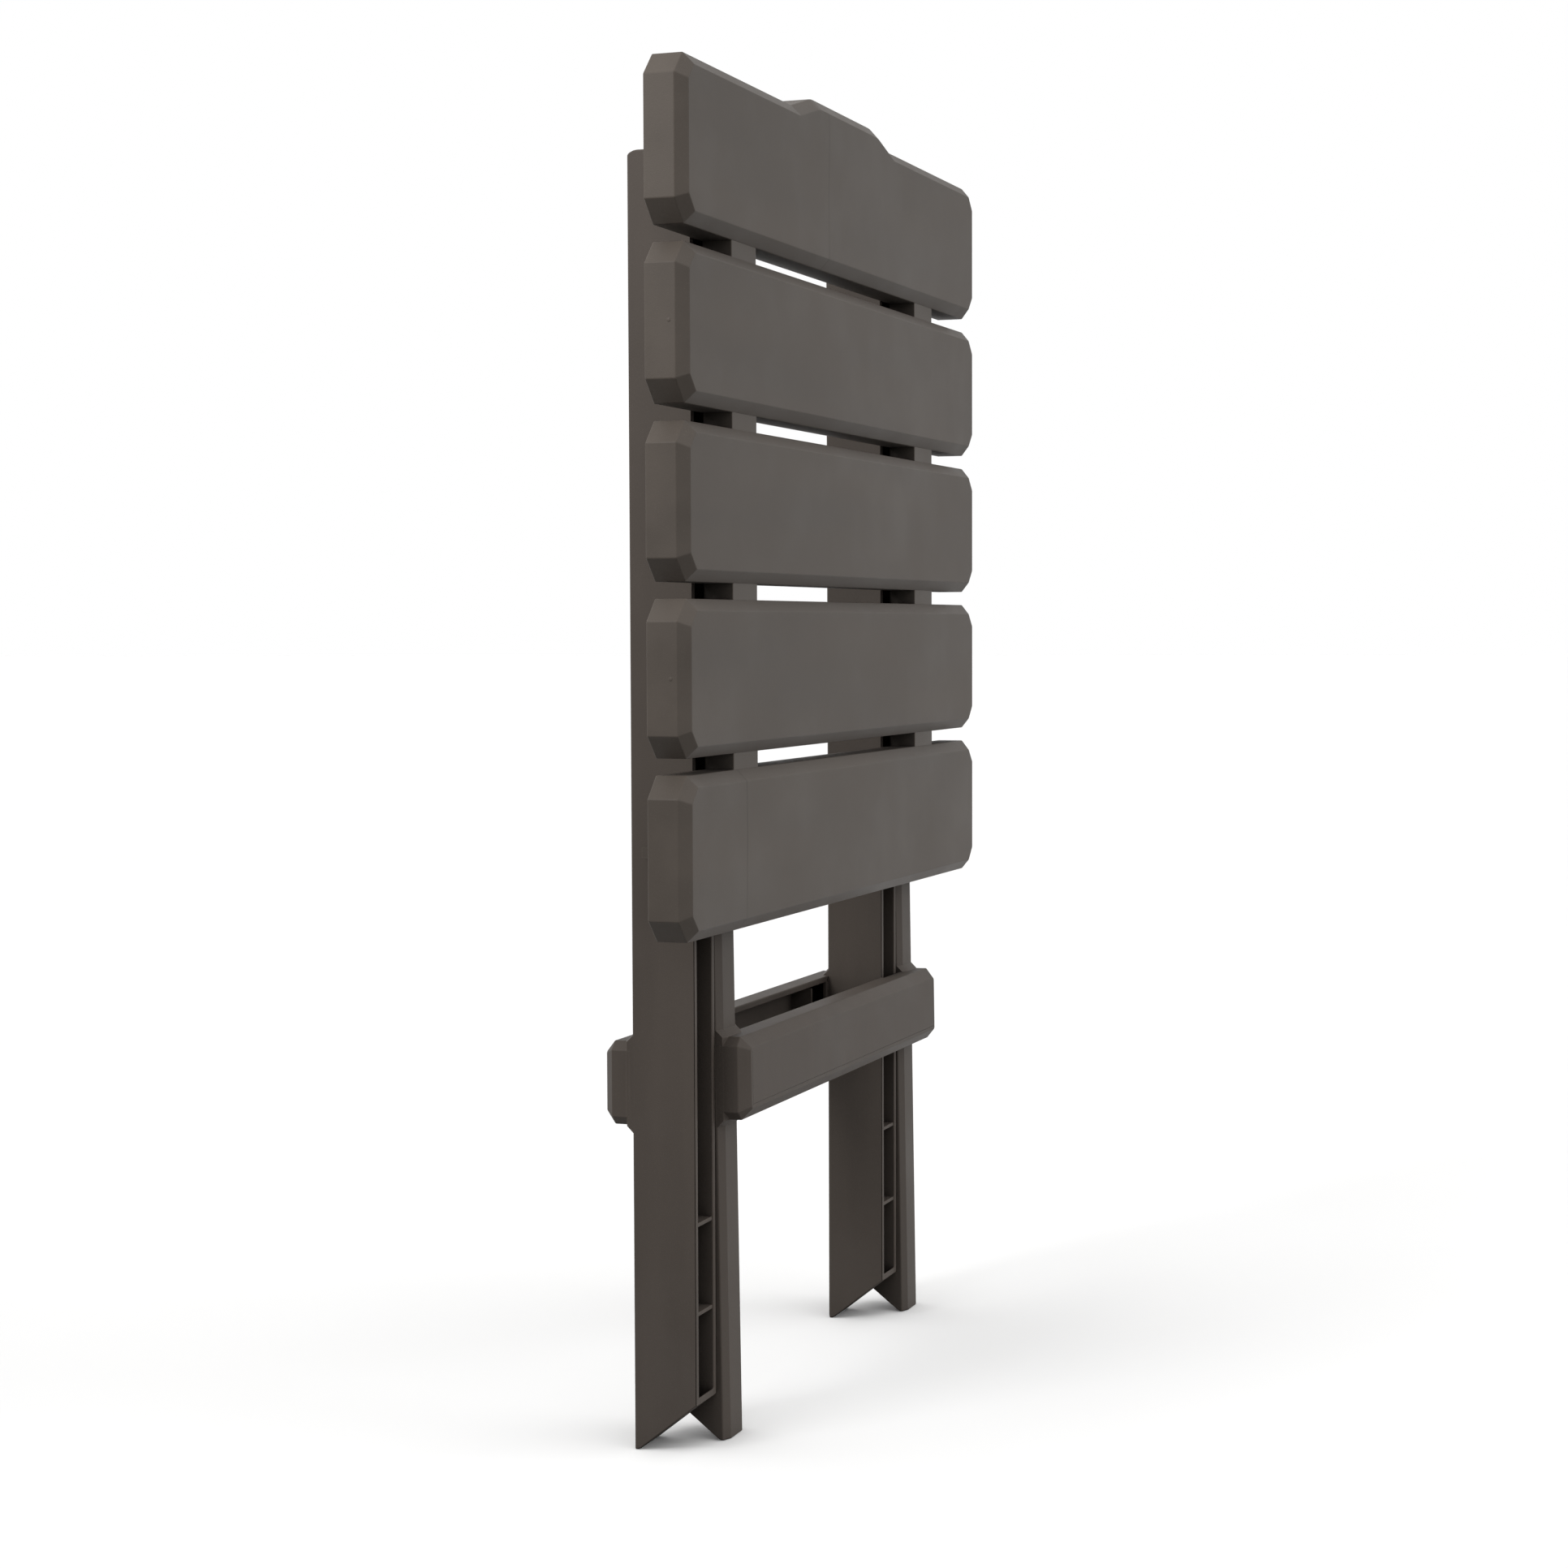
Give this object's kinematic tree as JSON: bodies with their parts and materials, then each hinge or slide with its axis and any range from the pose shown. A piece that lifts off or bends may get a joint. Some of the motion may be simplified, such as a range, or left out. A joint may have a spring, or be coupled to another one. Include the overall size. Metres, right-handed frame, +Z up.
{
  "type": "folding side table",
  "caption": "Low folding slatted resin table or step stool with two crossed leg frames, folded flat and standing on its leg ends.",
  "frame": {"origin": "centre of the footprint of the folded part, at the level its leg tips stand on", "axes": "+X along the slats, to the right seen from the slat faces; +Y from the slat faces back to the legs; +Z up along the folded legs"},
  "size_m": [0.443, 0.0668, 0.6366],
  "materials": {
    "resin": "satin",
    "leg_resin": "satin",
    "pin_resin": "satin"
  },
  "bodies": {
    "hinge_pins": {"hinge_pin_left": "pin_resin", "hinge_pin_right": "pin_resin", "hinge_cap_left": "pin_resin", "hinge_cap_right": "pin_resin"},
    "tabletop": {"slat_1": "resin", "slat_2": "resin", "slat_3": "resin", "slat_4": "resin", "slat_5": "resin", "runner_left": "resin", "runner_right": "resin", "hinge_bracket_left": "resin", "hinge_bracket_right": "resin", "latch_seat_left": "resin", "latch_seat_right": "resin"},
    "latch_studs": {"latch_stud_left": "pin_resin", "latch_stud_right": "pin_resin"},
    "rear_frame": {"rear_rail_left": "leg_resin", "rear_rail_right": "leg_resin", "rear_stretcher": "leg_resin", "cross_pin_left": "pin_resin", "cross_pin_right": "pin_resin", "cross_cap_left": "pin_resin", "cross_cap_right": "pin_resin"},
    "front_frame": {"front_rail_left": "leg_resin", "front_rail_right": "leg_resin", "front_stretcher": "leg_resin"}
  },
  "joints": [
    {"name": "top_swing", "type": "hinge", "parent": "hinge_pins", "child": "tabletop", "pos_m": [0, 0.00709, 0.58698], "axis": [-1, 0, 0], "range_deg": [0, 95]},
    {"name": "table_slide", "type": "slide", "parent": "hinge_pins", "child": "latch_studs", "axis": [0, 0.0112, -0.9999], "range_m": [0, 0.30265]},
    {"name": "stud_roll", "type": "hinge", "parent": "latch_studs", "child": "rear_frame", "pos_m": [0, 0.0037, 0.587], "axis": [1, 0, 0], "range_deg": [0, 128.51]},
    {"name": "leg_spread", "type": "hinge", "parent": "rear_frame", "child": "front_frame", "pos_m": [0, 0.0037, 0.34395], "axis": [-1, 0, 0], "range_deg": [0, 76.2]}
  ],
  "couplings": [
    {"joint": "stud_roll", "follows": "leg_spread", "ratio": 1.6864},
    {"joint": "table_slide", "follows": "leg_spread", "m_per_rad": 0.22756}
  ]
}
